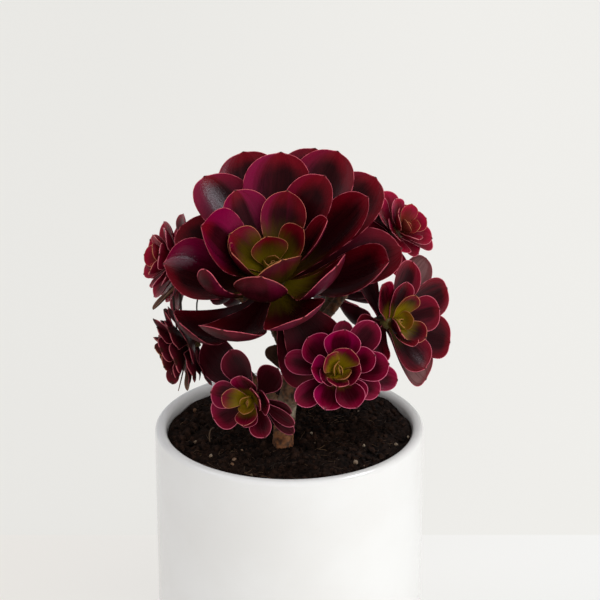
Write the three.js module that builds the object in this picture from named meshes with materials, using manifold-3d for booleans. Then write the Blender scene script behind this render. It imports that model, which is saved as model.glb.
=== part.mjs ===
// Potted aeonium: a tree aeonium with one large dark rosette and smaller ones on side branches,
// planted in a plain white glazed pot. Millimetres, +Z up.
// The origin is the middle of the pot's flat underside. The front of the plant faces -Y.

import * as THREE from 'three';
import { mergeVertices } from 'three/addons/utils/BufferGeometryUtils.js';
import Module from 'manifold-3d';

const wasm = await Module();
wasm.setup();

// Driving dimensions

const pot = { radius: 75, height: 143, wall: 6.5, floor: 9, lip: 3, foot: 4, sides: 40 };
const soil = { top: 137.4, heap: 2.2, bump: 0.9, fall: 0.012, rise: 0.025, rings: 5, sides: 32, clear: 0.35 };
const trunkFoot = { x: -3, y: -19, depth: 16, radius: 6.2, clear: 0.4 };
const seat = 0.35; // gap between a branch end and the head that it carries

// Blades are lens-shaped in section: full thickness on the midrib, thin at the margin.
// The midrib is summed in this many steps, and each kind of blade has its rings at the listed ones.
// Every next leaf grows lower by step, out to rootRing from the axis.
const steps = 24;
const blades = {
  large: {
    stations: [0, 6, 12, 17, 21, 23, 24], across: 3, thick: 2.1, widest: 0.7,
    cup: [45, 38], step: 0.55, rootRing: 5,
  },
  small: {
    stations: [0, 8, 16, 21, 23, 24], across: 2, thick: 1.7, widest: 0.7,
    cup: [42, 34], step: 0.5, rootRing: 2,
  },
  plain: {
    stations: [0, 9, 17, 22, 24], across: 2, thick: 1.7, widest: 0.7,
    cup: [42, 34], step: 0.5, rootRing: 2,
  },
  bud: { stations: [0, 14, 24], across: 2, thick: 1.7, widest: 0.66, cup: [50, 50] },
};
const footWidth = 0.22; // share of the leaf's width at its root
const shoulderPower = 1.7; // how long the leaf stays narrow
const tipPower = 2.05; // roundness of the leaf's end
const curlPower = 1.4; // how late along the leaf the curl comes
const mucro = 0.8; // the small point at the leaf's tip
const cupFade = [1.15, 0.45]; // the cup at the root, and how much of it is gone at the tip
const thickFade = [1.35, 0.75]; // the same for the thickness
const youngLeaves = 15; // leaves up to this one stand closer to the axis
const firstRing = 0.5; // distance of the youngest leaf's root from the axis
const budLeaves = 3;
const coreSides = 7;
const goldenAngle = 137.5;

// Rosettes

// A head points along its axis: heading round +Z from +X, and elevation above the horizon.
// Each leaf row holds: direction round the axis, rise above the plane of the head, curl towards the axis,
// length, width and roll. Leaves are listed from the youngest to the oldest, and older ones grow lower down.
const mainHead = {
  name: 'rosette_main', centre: [-8.5, -28, 244.3], heading: 270, elevation: 65,
  core: [[0, 1], [4, -0.5], [8.4, -8], [8.4, -19], [6, -26]],
  leaves: [
    [20, 80, 25, 7, 7, 0], [157, 78, 30, 8, 8, 0], [295, 74, 35, 9, 10, 0], [72, 66, 35, 10, 10, 0],
    [215, 60, 40, 10, 11, 0], [112, 58, 30, 21, 22, -4], [292, 22, 103, 31, 33, 15],
    [160, 40, 15, 31, 26, -9], [32, 52, 15, 30, 25, -7], [200, 35, 45, 34, 25, 5], [76, 44, 15, 44, 26.5, 2],
    [257, 0, 125, 43, 31, 5], [120, 39, 5, 47.5, 30, 4], [15, 47, 22, 45, 22, -12], [177, 41, 22, 50, 43, -6],
    [54, 45, 0, 58, 31, -6], [325, 14, 76, 54, 38, 0], [86, 42, -12, 66, 39, -5], [215, 5, 95, 58, 14, 32],
    [287, 6, 62, 62, 37, 14], [126, 33, -12, 65, 37, 5], [28, 28, 22, 65, 32, -5], [352, 5, 50, 64, 41, -5],
    [180, 8, 25, 55, 44, -5], [62, 33, -10, 78, 37, 8], [103, 30, -12, 75, 38, -8], [45, 25, -8, 78, 36, 12],
    [242, -18, 98, 61, 38, 12], [73, 29, -8, 79, 37, 0], [143, 13, -5, 58, 36, -5], [20, 6, 0, 68, 36, 15],
    [205, -55, 138, 65, 36, 10], [312, -20, -35, 45, 34, 20], [298, -50, -5, 50, 26, 0],
    [92, 12, -22, 64, 36, 0], [125, 4, -18, 60, 36, 0], [50, 2, -22, 62, 36, 0], [152, -14, -10, 52, 34, 0],
    [75, -12, -25, 58, 34, 0], [35, -14, -20, 56, 34, 0], [108, -24, -20, 44, 32, 0],
  ],
};

const sideCore = [[0, 0.8], [3, -1], [4.6, -7], [3, -12.5]];
const sideHeads = [
  {
    name: 'rosette_front_right', centre: [25.9, -56, 199.3], heading: 278, elevation: 30,
    bud: { size: 12, start: 20 },
    leaves: [
      [140, 50, 20, 17, 14, 0], [62, 48, 20, 18, 16, 0], [255, 48, 25, 17, 13, 0], [348, 45, 20, 16, 17, 0],
      [176, 32, 20, 18.5, 16, 0], [80, 30, 18, 24, 21, 0], [18, 28, 12, 22, 15, 0], [290, 22, 15, 23, 17, 0],
      [246, 20, 15, 23, 18, 0], [306, 12, 5, 19, 15, 0], [4, 14, 5, 26, 17, 0], [207, 45, 25, 16, 12, 0],
      [48, 12, 0, 31, 17, 0], [214, 12, 0, 26, 14, 0], [330, 5, 0, 23, 14, 0], [130, 18, 10, 23, 19, 0],
      [351, -6, -8, 32, 15, 0], [161, 6, -5, 26, 14, 0], [76, 2, -5, 26, 12, 0],
    ],
  },
  {
    name: 'rosette_right', centre: [55.7, -16, 210.7], heading: 318, elevation: 18,
    bud: { size: 12, start: 80 },
    leaves: [
      [60, 42, 15, 20, 15, 0], [305, 40, 15, 20, 15, 0], [200, 46, 30, 18, 14, 0], [262, 40, 25, 20, 15, 0],
      [70, 26, 15, 23.5, 17, 0], [358, 24, 10, 29, 21, 0], [118, 24, 12, 29, 18, 0], [286, 14, 20, 31, 26, 0],
      [48, 10, 0, 35, 21, 0], [6, 6, 0, 47, 23, 0], [330, 6, 0, 46, 26, 0], [215, 12, 10, 24, 18, 0],
      [299, 3, -5, 42, 27, 0], [175, 4, 10, 24, 18, 0], [19, -12, 0, 62, 18, -25], [240, -8, 0, 32, 18, 0],
      [94, -10, 0, 31, 16, 0],
    ],
  },
  {
    name: 'rosette_front_left', centre: [-19.7, -50, 179.8], heading: 243, elevation: 8,
    bud: { size: 11, start: 0 },
    leaves: [
      [165, 42, 15, 17, 13, 0], [280, 42, 20, 16, 14, 0], [30, 45, 15, 18, 14, 0], [95, 38, 10, 20, 16, 0],
      [175, 20, 10, 22, 17, 0], [213, 12, 5, 24, 19, 0], [268, 28, 15, 15, 13, 0], [299, 14, 5, 20, 15, 0],
      [14, 45, 5, 22, 15, 0], [124, 2, 5, 27, 19, 0], [337, 4, -5, 24, 8.5, 0], [56, 8, 0, 21, 17, 0],
      [150, -14, 10, 42, 26, 0], [322, -4, -5, 25, 9, 0], [350, 8, 0, 20, 8, 0],
    ],
  },
  {
    name: 'rosette_upper_right', centre: [62, 30, 247], heading: 325, elevation: 40,
    bud: { size: 11, start: 40 },
    leaves: [
      [60, 44, 18, 15, 13, 0], [350, 42, 20, 15, 13, 0], [140, 40, 20, 16, 14, 0], [250, 40, 22, 15, 13, 0],
      [95, 30, 15, 18, 16, 0], [30, 26, 12, 15, 16, 0], [310, 26, 15, 18, 15, 0], [175, 28, 15, 19, 15, 0],
      [215, 20, 10, 18, 15, 0], [128, 22, 10, 24, 18, 0], [86, 14, 5, 22.5, 20, 0], [5, 14, 5, 20, 20, 0],
      [335, 6, 0, 24, 21, 0], [292, 8, 5, 15, 15, 0], [112, 10, 0, 28, 21, 0], [150, 6, 0, 26, 18, 0],
      [50, 2, -5, 22, 17, 0], [240, -4, 0, 22, 16, 0],
    ],
  },
  {
    name: 'rosette_upper_left', centre: [-66.5, 24, 231.5], heading: 194, elevation: 15,
    bud: { size: 11, start: 10 },
    spiral: { count: 21, start: 58, lengths: [13, 26.5], width: 24, rises: [56, -2], curl: 18 },
  },
  {
    name: 'rosette_left', centre: [-60.9, -10, 192.2], heading: 190, elevation: -20,
    bud: { size: 11, start: 60 },
    spiral: { count: 21, start: 70, lengths: [12, 22.8], width: 23.8, rises: [56, -4], curl: 18 },
  },
  {
    name: 'rosette_back_right', centre: [28, 52, 202], heading: 60, elevation: 18,
    bud: { size: 11, start: 0 },
    spiral: { count: 15, start: 20, lengths: [13, 25], width: 19, rises: [52, -4], curl: 18 },
  },
  {
    name: 'rosette_back_left', centre: [-24, 49, 215], heading: 125, elevation: 20,
    bud: { size: 11, start: 90 },
    spiral: { count: 17, start: 77, lengths: [13, 26], width: 19, rises: [52, -4], curl: 18 },
  },
];

// Woody stems: [x, y, z, radius] along each one. The last point of a branch is set at its head's seat.
const trunkPath = [
  [-3.5, -19, 142, 5.8], [-2, -18.5, 156, 5.4], [0.5, -18, 178, 4.8], [0.5, -17.5, 200, 4.5],
  [-4, -17, 213, 4.5],
];
const branchPaths = {
  rosette_front_left: [[-2, -19, 153, 3.3], [-7, -27, 164, 3.1]],
  rosette_front_right: [[-1, -19, 163, 3.4], [10, -29, 176, 3]],
  rosette_right: [[0, -18, 170, 3.4], [15, -10, 181, 3.1], [32, -4, 194, 2.9]],
  rosette_upper_right: [[0, -18, 184, 3.4], [12, 4, 195, 3.1], [28, 22, 209, 2.8]],
  rosette_upper_left: [[0, -17, 204, 3.3], [-9, -11, 213, 3.1], [-29, 0, 221, 2.9], [-40, 17, 224, 2.8]],
  rosette_left: [[-2, -19, 160, 3.3], [-16, -16, 172, 3.1], [-32, -9, 187, 2.9]],
  rosette_back_right: [[0, -18, 178, 3.3], [6, 8, 183, 3.1], [14, 24, 190, 2.8]],
  rosette_back_left: [[0, -17, 190, 3.3], [-7, 4, 197, 3.1], [-13, 18, 204, 2.8]],
};

// Finishes

const finishes = {
  pot: new THREE.MeshStandardMaterial({ color: 0xf2f1ee, roughness: 0.25, metalness: 0 }),
  soil: new THREE.MeshStandardMaterial({ color: 0x241b16, roughness: 0.95, metalness: 0 }),
  wood: new THREE.MeshStandardMaterial({ color: 0x6b4a34, roughness: 0.85, metalness: 0 }),
  darkLeaf: new THREE.MeshStandardMaterial({ color: 0x4a0f22, roughness: 0.42, metalness: 0 }),
  roseLeaf: new THREE.MeshStandardMaterial({ color: 0x7c1c3a, roughness: 0.45, metalness: 0 }),
};

// Solids

function radians(degrees) {
  return degrees * Math.PI / 180;
}

function solidOf(geometry) {
  const bare = geometry.clone();
  bare.deleteAttribute('normal');
  bare.deleteAttribute('uv');
  const welded = mergeVertices(bare, 1e-5);
  const source = new wasm.Mesh({
    numProp: 3,
    vertProperties: new Float32Array(welded.attributes.position.array),
    triVerts: new Uint32Array(welded.index.array),
  });
  return new wasm.Manifold(source);
}

function geometryOf(solid) {
  const result = solid.getMesh();
  const geometry = new THREE.BufferGeometry();
  geometry.setAttribute('position', new THREE.BufferAttribute(new Float32Array(result.vertProperties), 3));
  geometry.setIndex(new THREE.BufferAttribute(new Uint32Array(result.triVerts), 1));
  geometry.computeVertexNormals();
  return geometry;
}

// Rings of points joined in order, with a flat cap at each end. A ring of one point is a tip.
function skin(rings) {
  const points = [];
  const starts = rings.map((ring) => {
    const start = points.length;
    points.push(...ring);
    return start;
  });
  const faces = [];
  for (let i = 0; i + 1 < rings.length; i += 1) {
    const [near, far] = [rings[i].length, rings[i + 1].length];
    const count = Math.max(near, far);
    for (let j = 0; j < count; j += 1) {
      const next = (j + 1) % count;
      const [a, b] = [starts[i] + (j % near), starts[i] + (next % near)];
      const [c, d] = [starts[i + 1] + (j % far), starts[i + 1] + (next % far)];
      if (near > 1) faces.push(a, b, d);
      if (far > 1) faces.push(a, d, c);
    }
  }
  const last = rings.length - 1;
  for (let j = 1; j + 1 < rings[0].length; j += 1) faces.push(starts[0], starts[0] + j + 1, starts[0] + j);
  for (let j = 1; j + 1 < rings[last].length; j += 1) {
    faces.push(starts[last], starts[last] + j, starts[last] + j + 1);
  }
  const geometry = new THREE.BufferGeometry();
  const numbers = points.flatMap((p) => [p.x, p.y, p.z]);
  geometry.setAttribute('position', new THREE.Float32BufferAttribute(numbers, 3));
  geometry.setIndex(faces);
  return geometry;
}

// Leaves

// Half the leaf's width at a share s of its length, as a share of its half width.
function widthShare(s, widest) {
  if (s < widest) return footWidth + (1 - footWidth) * Math.sin((s / widest) * Math.PI / 2) ** shoulderPower;
  return (1 - ((s - widest) / (1 - widest)) ** tipPower) ** (1 / tipPower);
}

// One blade in the head's own frame: its axis is +Z and direction 0 is +X.
function bladeRings([direction, rise, curl, length, width, roll], drop, rootRing, kind, cup) {
  const outward = new THREE.Vector3(Math.cos(radians(direction)), Math.sin(radians(direction)), 0);
  const axis = new THREE.Vector3(0, 0, 1);
  const side = new THREE.Vector3().crossVectors(axis, outward);
  const slope = (s) => radians(rise + curl * s ** curlPower);
  const along = (s) => {
    const level = outward.clone().multiplyScalar(Math.cos(slope(s)));
    return level.addScaledVector(axis, Math.sin(slope(s)));
  };
  const spine = outward.clone().multiplyScalar(rootRing).addScaledVector(axis, -drop);
  const rings = [];
  for (let i = 0; i <= steps; i += 1) {
    const s = i / steps;
    if (i > 0) spine.addScaledVector(along(s - 0.5 / steps), length / steps);
    if (!kind.stations.includes(i)) continue;
    const forward = along(s);
    if (i === steps) {
      rings.push([spine.clone().addScaledVector(forward, mucro)]);
      continue;
    }
    const face = new THREE.Vector3().crossVectors(forward, side);
    const across = side.clone().applyAxisAngle(forward, radians(roll));
    face.applyAxisAngle(forward, radians(roll));
    const half = widthShare(s, kind.widest) * width / 2;
    const bend = radians(cup) * (cupFade[0] - cupFade[1] * s);
    const thick = kind.thick * (thickFade[0] - thickFade[1] * s) / 2;
    const ring = [];
    for (const top of [true, false]) {
      for (let j = 0; j < kind.across; j += 1) {
        const u = top ? 1 - 2 * j / kind.across : -1 + 2 * j / kind.across;
        const lift = half * (1 - Math.cos(bend * u)) / bend + (top ? thick : -thick) * (1 - u * u);
        const reach = half * Math.sin(bend * u) / bend;
        ring.push(spine.clone().addScaledVector(across, reach).addScaledVector(face, lift));
      }
    }
    rings.push(ring);
  }
  return rings;
}

function budRows({ size, start }) {
  return Array.from({ length: budLeaves }, (_, k) => {
    const t = (k + 1) / budLeaves;
    return [start + goldenAngle * k, 82 - 30 * t, 30, size * (0.45 + 0.55 * t), size * (0.5 + 0.45 * t), 0];
  });
}

// Leaves that follow the plant's own spiral, each a golden angle round from the last.
function spiralRows({ count, start, lengths, width, rises, curl }) {
  return Array.from({ length: count }, (_, k) => {
    const t = (k + 1) / count;
    const rise = rises[0] + (rises[1] - rises[0]) * t ** 0.85;
    const length = lengths[0] + (lengths[1] - lengths[0]) * t ** 0.75;
    const blade = width * (0.42 + 0.58 * t ** 0.7);
    return [start + goldenAngle * k, rise, curl * (1.2 - 0.6 * t), length, blade, 0];
  });
}

function rosette(head, rows, core, kind, finish) {
  const coreProfile = core.map(([r, z]) => new THREE.Vector2(r, z)).reverse();
  const base = coreProfile[0].clone().setX(0);
  const lathe = new THREE.LatheGeometry([base, ...coreProfile], coreSides).rotateX(Math.PI / 2);
  const pieces = [solidOf(lathe)];
  rows.forEach((row, k) => {
    const order = Math.max(0, k - budLeaves);
    const style = k < budLeaves ? blades.bud : kind;
    const cup = k < youngLeaves ? style.cup[0] : style.cup[1];
    const ring = firstRing + kind.rootRing * Math.min(1, k / youngLeaves);
    pieces.push(solidOf(skin(bladeRings(row, kind.step * order, ring, style, cup))));
  });
  const mesh = new THREE.Mesh(geometryOf(wasm.Manifold.union(pieces)), finish);
  mesh.name = head.name;
  const axis = axisOf(head);
  const right = new THREE.Vector3(0, 0, 1).cross(axis).normalize();
  const far = new THREE.Vector3().crossVectors(axis, right);
  mesh.quaternion.setFromRotationMatrix(new THREE.Matrix4().makeBasis(right, far, axis));
  mesh.position.set(...head.centre);
  return mesh;
}

function axisOf({ heading, elevation }) {
  const [h, e] = [radians(heading), radians(elevation)];
  return new THREE.Vector3(Math.cos(e) * Math.cos(h), Math.cos(e) * Math.sin(h), Math.sin(e));
}

// Stems

// A tapered round stem through [x, y, z, radius] points.
function stemSolid(path, sides, pieces, endDirection) {
  const curve = new THREE.CatmullRomCurve3(path.map(([x, y, z]) => new THREE.Vector3(x, y, z)));
  const rings = [];
  let across = new THREE.Vector3(1, 0, 0);
  for (let i = 0; i <= pieces; i += 1) {
    const t = i / pieces;
    const place = t * (path.length - 1);
    const k = Math.min(Math.floor(place), path.length - 2);
    const radius = path[k][3] + (path[k + 1][3] - path[k][3]) * (place - k);
    const centre = curve.getPoint(t);
    const forward = i === pieces && endDirection ? endDirection : curve.getTangent(t);
    across = across.clone().addScaledVector(forward, -across.dot(forward)).normalize();
    const other = new THREE.Vector3().crossVectors(forward, across);
    rings.push(Array.from({ length: sides }, (_, j) => {
      const angle = 2 * Math.PI * j / sides;
      return centre.clone().addScaledVector(across, radius * Math.cos(angle))
        .addScaledVector(other, radius * Math.sin(angle));
    }));
  }
  return solidOf(skin(rings));
}

function seatOf(head, coreBottom) {
  const axis = axisOf(head);
  const point = new THREE.Vector3(...head.centre).addScaledVector(axis, coreBottom - seat);
  return { axis, point };
}

function stemMesh() {
  const top = seatOf(mainHead, mainHead.core.at(-1)[1]);
  const foot = [trunkFoot.x, trunkFoot.y, soil.top - trunkFoot.depth, trunkFoot.radius];
  const trunk = [foot, ...trunkPath, [...top.point.toArray(), 4.6]];
  const parts = [stemSolid(trunk, 10, 9, top.axis)];
  for (const head of sideHeads) {
    const end = seatOf(head, sideCore.at(-1)[1]);
    const before = end.point.clone().addScaledVector(end.axis, -7);
    const path = [...branchPaths[head.name], [...before.toArray(), 2.7], [...end.point.toArray(), 2.6]];
    parts.push(stemSolid(path, 6, 6, end.axis));
  }
  const mesh = new THREE.Mesh(geometryOf(wasm.Manifold.union(parts)), finishes.wood);
  mesh.name = 'stem';
  return mesh;
}

// Pot and soil

function potMesh() {
  const { radius, height, wall, floor, lip, foot } = pot;
  const inner = radius - wall;
  const outline = new THREE.Path();
  outline.moveTo(0, 0);
  outline.lineTo(radius - foot, 0);
  outline.absarc(radius - foot, foot, foot, -Math.PI / 2, 0, false);
  outline.lineTo(radius, height - lip);
  outline.absarc(radius - lip, height - lip, lip, 0, Math.PI / 2, false);
  outline.absarc(inner + lip, height - lip, lip, Math.PI / 2, Math.PI, false);
  outline.lineTo(inner, floor);
  outline.lineTo(0, floor);
  const corners = [new THREE.Vector2(0, 0)];
  for (const point of outline.getPoints(2)) {
    if (point.distanceTo(corners.at(-1)) > 1e-4) corners.push(point);
  }
  corners[0].x = 0;
  corners.at(-1).x = 0;
  const lathe = new THREE.LatheGeometry(corners, pot.sides).rotateX(Math.PI / 2);
  const mesh = new THREE.Mesh(geometryOf(solidOf(lathe)), finishes.pot);
  mesh.name = 'pot';
  return mesh;
}

// The soil's surface: heaped a little round the trunk, higher on the right and at the back, and uneven.
function soilHeight(x, y) {
  const toTrunk = Math.hypot(x - trunkFoot.x, y - trunkFoot.y);
  const heap = soil.heap * Math.exp(-((toTrunk / 32) ** 2));
  const lumps = Math.sin(x * 0.21 + 1.3) * Math.sin(y * 0.17 + 0.4) + 0.6 * Math.sin(x * 0.09 - y * 0.13 + 2);
  return soil.top + heap + soil.fall * x + soil.rise * y + soil.bump * lumps;
}

function soilMesh() {
  const inner = pot.radius - pot.wall;
  const facet = Math.cos(Math.PI / pot.sides);
  const radius = inner * facet - soil.clear;
  const bottom = pot.floor + soil.clear;
  const ringAt = (r, height) => Array.from({ length: soil.sides }, (_, j) => {
    const angle = 2 * Math.PI * j / soil.sides;
    const [x, y] = [r * Math.cos(angle), r * Math.sin(angle)];
    return new THREE.Vector3(x, y, height ?? soilHeight(x, y));
  });
  const rings = [[new THREE.Vector3(0, 0, bottom)], ringAt(radius, bottom), ringAt(radius)];
  for (let i = soil.rings - 1; i > 0; i -= 1) rings.push(ringAt(radius * i / soil.rings));
  rings.push([new THREE.Vector3(0, 0, soilHeight(0, 0))]);
  const depth = trunkFoot.depth + 1;
  const { radius: around, clear } = trunkFoot;
  const hole = new THREE.CylinderGeometry(around + 1, around + clear, depth + 8, 16);
  hole.rotateX(Math.PI / 2).translate(trunkFoot.x, trunkFoot.y, soil.top - depth + (depth + 8) / 2);
  const mesh = new THREE.Mesh(geometryOf(solidOf(skin(rings)).subtract(solidOf(hole))), finishes.soil);
  mesh.name = 'soil';
  return mesh;
}

const group = new THREE.Group();
group.add(potMesh(), soilMesh(), stemMesh());
group.add(rosette(mainHead, mainHead.leaves, mainHead.core, blades.large, finishes.darkLeaf));
for (const head of sideHeads) {
  const rows = [...budRows(head.bud), ...(head.leaves ?? spiralRows(head.spiral))];
  const kind = head.leaves ? blades.small : blades.plain;
  group.add(rosette(head, rows, sideCore, kind, finishes.roseLeaf));
}

export default group;
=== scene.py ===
# %% [markdown]
# Potted aeonium
#
# A tree aeonium is a small woody shrub: every branch ends in one rosette of waxy leaves. This one has a
# large dark rosette, eight smaller ones round it, and a plain white glazed pot. The lesson dresses the
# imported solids: the pot gets a soft lip and a glaze, the soil its crumbs, the stems their bark, and each
# rosette is grown again from one finely modelled leaf. Everything is in metres in the frame of the
# solids, +Z up, with the front facing -Y.

# %% Load the solids and keep their box
import math
import random
from functools import partial

import bmesh
import bpy
import numpy as np
from mathutils import Euler, Matrix, Vector


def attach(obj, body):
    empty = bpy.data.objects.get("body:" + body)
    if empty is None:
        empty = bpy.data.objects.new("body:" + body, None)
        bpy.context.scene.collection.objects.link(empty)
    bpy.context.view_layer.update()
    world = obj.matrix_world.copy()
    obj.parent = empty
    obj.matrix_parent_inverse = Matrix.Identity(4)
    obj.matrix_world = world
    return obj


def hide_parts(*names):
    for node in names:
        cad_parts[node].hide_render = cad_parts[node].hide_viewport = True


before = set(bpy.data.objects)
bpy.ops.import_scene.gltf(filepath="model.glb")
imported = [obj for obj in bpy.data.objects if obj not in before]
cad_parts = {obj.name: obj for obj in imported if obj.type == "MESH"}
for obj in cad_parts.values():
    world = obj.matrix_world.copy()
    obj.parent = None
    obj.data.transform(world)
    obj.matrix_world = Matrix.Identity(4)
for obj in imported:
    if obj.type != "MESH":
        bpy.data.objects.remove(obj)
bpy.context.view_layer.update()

MM = 0.001
print("solids:", sorted(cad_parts))

# %% [markdown]
# The camera stands where the photographer stood, with a long lens 22 degrees above the rim. It could be
# placed by eye, but a place worked out from the rim's centre, its pixel and its distance is exact and
# can be checked.

# %% Camera
PICTURE_SIDE = 600
FOCAL_PIXELS = 2412
RIM_PIXEL = (289.5, 423.12)
RIM_CENTRE = Vector((0, 0, 143 * MM))
RIM_DISTANCE = 1.3487
PITCH = math.radians(21.96)
SENSOR_MM = 36

forward = Vector((0, math.cos(PITCH), -math.sin(PITCH)))
upward = Vector((0, math.sin(PITCH), math.cos(PITCH)))
rightward = Vector((1, 0, 0))
middle = PICTURE_SIDE / 2
rim_ray = forward + rightward * (RIM_PIXEL[0] - middle) / FOCAL_PIXELS
rim_ray -= upward * (RIM_PIXEL[1] - middle) / FOCAL_PIXELS
lens = bpy.data.cameras.new("photo_camera")
lens.sensor_width = SENSOR_MM
lens.lens = SENSOR_MM * FOCAL_PIXELS / PICTURE_SIDE
lens.clip_end = 20
camera = bpy.data.objects.new("photo_camera", lens)
camera.location = RIM_CENTRE - rim_ray.normalized() * RIM_DISTANCE
camera.rotation_euler = (math.pi / 2 - PITCH, 0, 0)
bpy.context.scene.collection.objects.link(camera)
bpy.context.scene.camera = camera
print("camera at", [round(v, 4) for v in camera.location], "lens", round(lens.lens, 1))

# %% [markdown]
# The room is a pale wall and a paler table in soft daylight. Real walls would hide the plant from the
# sides and the back, so one wide floor carries both tones. It is painted lighter towards the right, a
# painted light where the window falls, and it glows in part, so that shadows on it stay faint. Window
# light comes from a wide area, so suns of a wide angle stand in for it: a bright one on the right, a weak
# one on the left, and a cool one that only the gloss of the leaves shows, as a lilac sheen.

# %% Helpers for nodes and materials
def add_node(tree, kind, **settings):
    node = tree.nodes.new(kind)
    for name, value in settings.items():
        setattr(node, name, value)
    return node


def feed(tree, node, values):
    """Give a node's inputs their values: numbers and colours are set, other nodes' outputs are linked."""
    for key, value in values.items():
        if isinstance(value, bpy.types.NodeSocket):
            tree.links.new(value, node.inputs[key])
        else:
            node.inputs[key].default_value = value
    return node.outputs


def made(tree, kind, values, **settings):
    """A new node, set and fed: its outputs."""
    return feed(tree, add_node(tree, f"ShaderNode{kind}", **settings), values)


def new_material(name):
    """A new material, its tree, its shader and the place on the object's own axes."""
    material = bpy.data.materials.new(name)
    material.use_nodes = True
    tree = material.node_tree
    place = add_node(tree, "ShaderNodeTexCoord").outputs["Object"]
    return material, tree, tree.nodes["Principled BSDF"], place


# %% Helpers for colours, sums and noises
def linear(red, green, blue):
    """A colour as seen on a screen, 0 to 255, as the linear one that shaders use."""
    def channel(value):
        value /= 255
        return value / 12.92 if value <= 0.04045 else ((value + 0.055) / 1.055) ** 2.4
    return (channel(red), channel(green), channel(blue), 1)


def math_node(tree, operation, *values):
    return made(tree, "Math", dict(enumerate(values)), operation=operation)[0]


def mix_colours(tree, factor, first, second):
    return made(tree, "Mix", {0: factor, 6: first, 7: second}, data_type="RGBA")[2]


def ramp(tree, value, low, high, start=0.0, end=1.0):
    """Value as it goes from low to high, turned into start to end and kept between them."""
    values = dict(enumerate((value, low, high, start, end)))
    return made(tree, "MapRange", values, interpolation_type="SMOOTHSTEP")[0]


def noise(tree, vector, scale, detail=3.0, roughness=0.55):
    values = {"Vector": vector, "Scale": scale, "Detail": detail, "Roughness": roughness}
    return made(tree, "TexNoise", values)["Fac"]


def split(tree, vector):
    return made(tree, "SeparateXYZ", {0: vector})


# %% The floor with its two tones
TABLE_EDGE, EDGE_BLUR = 140 * MM, 1.5 * MM
WALL_LEFT, WALL_RIGHT = linear(237, 236, 232), linear(243, 242, 238)
TABLE_LEFT, TABLE_RIGHT = linear(241, 238, 233), linear(250, 250, 248)
LIGHT_FALLOFF_REACH = 0.25
TABLE_GLOW, WALL_GLOW = 0.7, 0.8
FLOOR_SIDE = 8

bpy.ops.object.select_all(action="DESELECT")
bpy.ops.mesh.primitive_plane_add(size=FLOOR_SIDE, location=(0, 0, 0))
floor = bpy.context.object
floor.name = "pale_floor"
floor_paint, tree, shader, place = new_material("pale_floor")
tree.nodes.remove(shader)
across, deep = split(tree, place)[:2]
beyond = ramp(tree, deep, TABLE_EDGE - EDGE_BLUR, TABLE_EDGE + EDGE_BLUR)
# Painted light: the floor is lighter towards the right, where the window light falls.
painted_light_to_right = ramp(tree, across, -LIGHT_FALLOFF_REACH, LIGHT_FALLOFF_REACH)
wall_tone = mix_colours(tree, painted_light_to_right, WALL_LEFT, WALL_RIGHT)
tone = mix_colours(tree, beyond, mix_colours(tree, painted_light_to_right, TABLE_LEFT, TABLE_RIGHT), wall_tone)
matte = made(tree, "BsdfDiffuse", {"Color": tone})[0]
glow = made(tree, "Emission", {"Color": tone})[0]
# The floor glows in part, so that shadows on it stay faint.
glow_share = ramp(tree, beyond, 0, 1, TABLE_GLOW, WALL_GLOW)
both = made(tree, "MixShader", {0: glow_share, 1: matte, 2: glow})[0]
tree.links.new(both, tree.nodes["Material Output"].inputs["Surface"])
floor.data.materials.append(floor_paint)

# %% Lights and sky
SKY_STRENGTH = 0.46


def soft_sun(name, azimuth, elevation, softness, strength, colour):
    """Light from a window far away. Azimuth is counted from the front, positive to the right."""
    lamp = bpy.data.lights.new(name, "SUN")
    lamp.energy = strength
    lamp.angle = math.radians(softness)
    lamp.color = colour
    holder = bpy.data.objects.new(name, lamp)
    a, e = math.radians(azimuth), math.radians(elevation)
    source = Vector((math.sin(a) * math.cos(e), -math.cos(a) * math.cos(e), math.sin(e)))
    holder.rotation_euler = (-source).to_track_quat("-Z", "Y").to_euler()
    bpy.context.scene.collection.objects.link(holder)
    return holder


soft_sun("window_right", 44, 32, 80, 1.8, (1.0, 0.995, 0.985)).visible_glossy = False
soft_sun("window_left", -88, 50, 22, 0.42, (0.9, 0.9, 1.0))
soft_sun("window_shine", 88, 56, 14, 2.3, (0.93, 0.91, 1.0)).visible_diffuse = False
sky = bpy.data.worlds.new("soft_daylight")
sky.use_nodes = True
feed(sky.node_tree, sky.node_tree.nodes["Background"],
     {"Color": linear(250, 250, 250), "Strength": SKY_STRENGTH})
bpy.context.scene.world = sky
bpy.context.scene.view_settings.view_transform = "Standard"
print("stage ready")

# %% [markdown]
# The pot is slip-cast stoneware: a straight cylinder with a thin wall, a round lip and a round foot. It
# could be a spin of its outline. A cylinder whose top is inset and pushed down to the floor, and whose
# edges are then rounded, gives the same form from the same few sizes.

# %% Helpers for modelling
def deselect():
    bpy.ops.object.select_all(action="DESELECT")


def edit():
    bpy.ops.object.mode_set(mode="EDIT")
    bpy.ops.mesh.select_all(action="SELECT")


def leave():
    bpy.ops.object.mode_set(mode="OBJECT")


def activate(piece):
    deselect()
    piece.select_set(True)
    bpy.context.view_layer.objects.active = piece


def newest(name):
    """The piece that was just added, under its name."""
    bpy.context.object.name = name
    return bpy.context.object


# %% Helpers for edit mode and a smooth look
def select_in_edit(piece, kind, test):
    """In edit mode, select the faces, edges or vertices that pass the test."""
    bpy.ops.mesh.select_mode(type=kind)
    bpy.ops.mesh.select_all(action="DESELECT")
    mesh = bmesh.from_edit_mesh(piece.data)
    for item in {"FACE": mesh.faces, "EDGE": mesh.edges, "VERT": mesh.verts}[kind]:
        if test(item):
            item.select_set(True)
    mesh.select_flush_mode()
    bmesh.update_edit_mesh(piece.data)


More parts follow.
